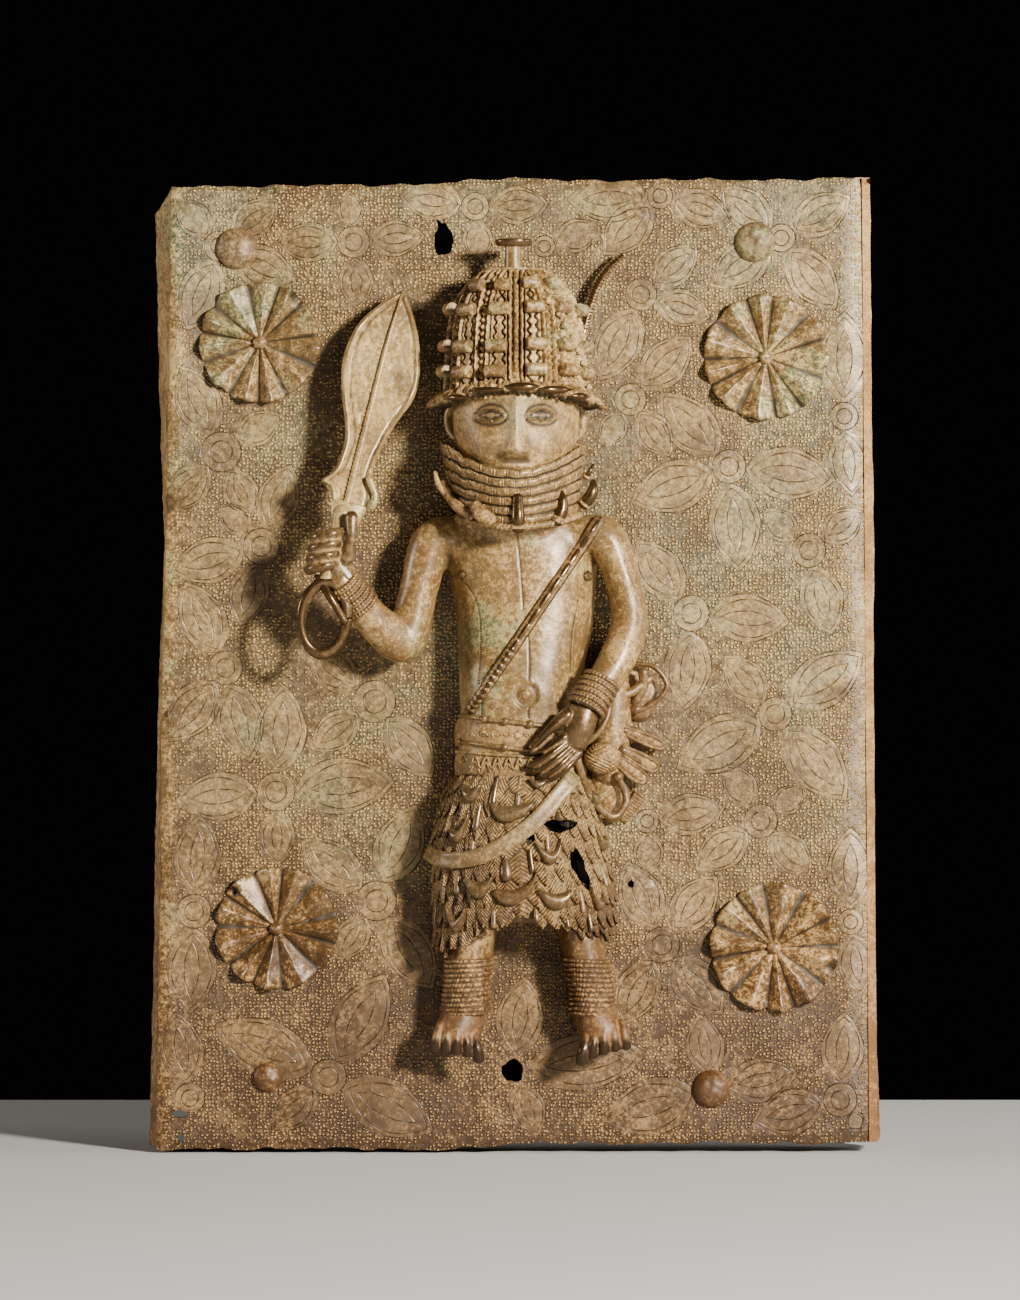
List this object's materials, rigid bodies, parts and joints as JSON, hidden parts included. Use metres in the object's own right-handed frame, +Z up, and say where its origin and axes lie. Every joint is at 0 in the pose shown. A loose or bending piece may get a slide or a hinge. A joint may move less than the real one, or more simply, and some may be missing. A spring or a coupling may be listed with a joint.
{
  "type": "relief plaque",
  "caption": "Cast brass relief plaque of a standing warrior raising a broad sword, with rosettes and domed bosses on a leaf-patterned ground and flanges that hold it off the wall.",
  "frame": {"origin": "centre of the wall plane, the plane that the back edges of both flanges touch, half way up the plate", "axes": "+X to the viewer's right, +Z up the plaque, +Y back into the wall, so the relief faces -Y"},
  "size_m": [0.353, 0.105, 0.4638],
  "materials": {
    "patinated_brass": "cast brass, tan to ochre with grey-green and brown patina, half matt, edges and hand rubbed smooth"
  },
  "bodies": {
    "root": {"relief_plaque": "patinated_brass"}
  },
  "joints": []
}
